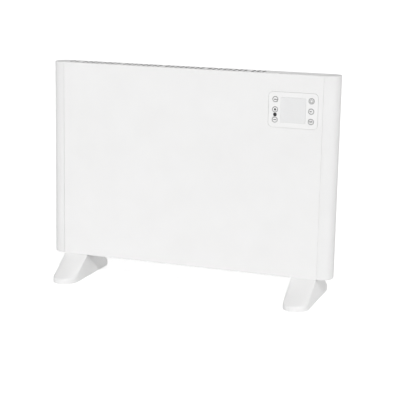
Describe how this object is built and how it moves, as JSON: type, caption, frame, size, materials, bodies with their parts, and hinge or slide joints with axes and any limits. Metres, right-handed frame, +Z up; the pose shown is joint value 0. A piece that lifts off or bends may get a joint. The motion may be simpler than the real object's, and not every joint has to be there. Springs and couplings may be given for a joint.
{
  "type": "panel convector heater",
  "caption": "Free-standing electric panel convector heater with a slotted top outlet, rounded end caps, two moulded feet and a flush control panel.",
  "frame": {"origin": "on the floor, under the middle of the body", "axes": "+X along the body towards the control side, +Y from the front panel to the rear cover, +Z up"},
  "size_m": [0.644, 0.218, 0.4805],
  "materials": {
    "panel_paint": "satin powder coat",
    "cap_plastic": "fine satin moulding",
    "key_plastic": "satin moulding",
    "window": "smooth light grey window",
    "dark_lens": "smooth black lens",
    "dark_plastic": "fine moulding",
    "screw_steel": "zinc plated",
    "zinc_sheet": "galvanised",
    "aluminium": "extruded",
    "ceramic": "fired, unglazed",
    "circuit_board": "solder mask",
    "relay_plastic": "moulded case"
  },
  "bodies": {
    "body": {"front_panel": "panel_paint", "rear_cover": "panel_paint", "left_end_cap": "cap_plastic", "right_end_cap": "cap_plastic", "left_foot": "cap_plastic", "right_foot": "cap_plastic", "foot_screw_1": "screw_steel", "foot_screw_2": "screw_steel", "foot_screw_3": "screw_steel", "foot_screw_4": "screw_steel", "cap_screw_1": "screw_steel", "cap_screw_2": "screw_steel", "cap_screw_3": "screw_steel", "cap_screw_4": "screw_steel", "cover_screw_1": "screw_steel", "cover_screw_2": "screw_steel", "cover_screw_3": "screw_steel", "cover_screw_4": "screw_steel", "control_bezel": "cap_plastic", "display_window": "window", "display_module": "dark_plastic", "infrared_window": "dark_lens", "control_board": "circuit_board", "heating_element": "aluminium", "left_element_bracket": "zinc_sheet", "right_element_bracket": "zinc_sheet", "left_element_bush": "ceramic", "right_element_bush": "ceramic", "heat_shield": "zinc_sheet", "cutout_bracket": "zinc_sheet", "thermal_cutout": "dark_plastic", "partition": "zinc_sheet", "power_board": "circuit_board", "left_relay": "relay_plastic", "right_relay": "relay_plastic", "terminal_block": "ceramic", "cord_gland": "dark_plastic", "room_sensor": "ceramic", "switch_housing": "dark_plastic", "tip_housing": "zinc_sheet", "tip_pin": "screw_steel", "microswitch": "dark_plastic"},
    "key_mode": {"key_mode": "key_plastic"},
    "key_plus": {"key_plus": "key_plastic"},
    "key_minus": {"key_minus": "key_plastic"},
    "key_power": {"key_power": "key_plastic"},
    "key_timer": {"key_timer": "key_plastic"},
    "key_heat": {"key_heat": "key_plastic"},
    "rocker": {"rocker": "dark_plastic"},
    "tip_pendulum": {"tip_pendulum": "screw_steel"}
  },
  "joints": [
    {"name": "key_mode_press", "type": "slide", "parent": "body", "child": "key_mode", "axis": [0, 1, 0], "range_m": [0, 0.0006], "stiffness_N_per_m": 2500},
    {"name": "key_plus_press", "type": "slide", "parent": "body", "child": "key_plus", "axis": [0, 1, 0], "range_m": [0, 0.0006], "stiffness_N_per_m": 2500},
    {"name": "key_minus_press", "type": "slide", "parent": "body", "child": "key_minus", "axis": [0, 1, 0], "range_m": [0, 0.0006], "stiffness_N_per_m": 2500},
    {"name": "key_power_press", "type": "slide", "parent": "body", "child": "key_power", "axis": [0, 1, 0], "range_m": [0, 0.0006], "stiffness_N_per_m": 2500},
    {"name": "key_timer_press", "type": "slide", "parent": "body", "child": "key_timer", "axis": [0, 1, 0], "range_m": [0, 0.0006], "stiffness_N_per_m": 2500},
    {"name": "key_heat_press", "type": "slide", "parent": "body", "child": "key_heat", "axis": [0, 1, 0], "range_m": [0, 0.0006], "stiffness_N_per_m": 2500},
    {"name": "rocker_tilt", "type": "hinge", "parent": "body", "child": "rocker", "pos_m": [0.212, 0.027, 0.13], "axis": [1, 0, 0], "range_deg": [0, 20]},
    {"name": "tip_pendulum_swing", "type": "hinge", "parent": "body", "child": "tip_pendulum", "pos_m": [0.255, 0, 0.162], "axis": [1, 0, 0], "range_deg": [-25, 25]}
  ]
}
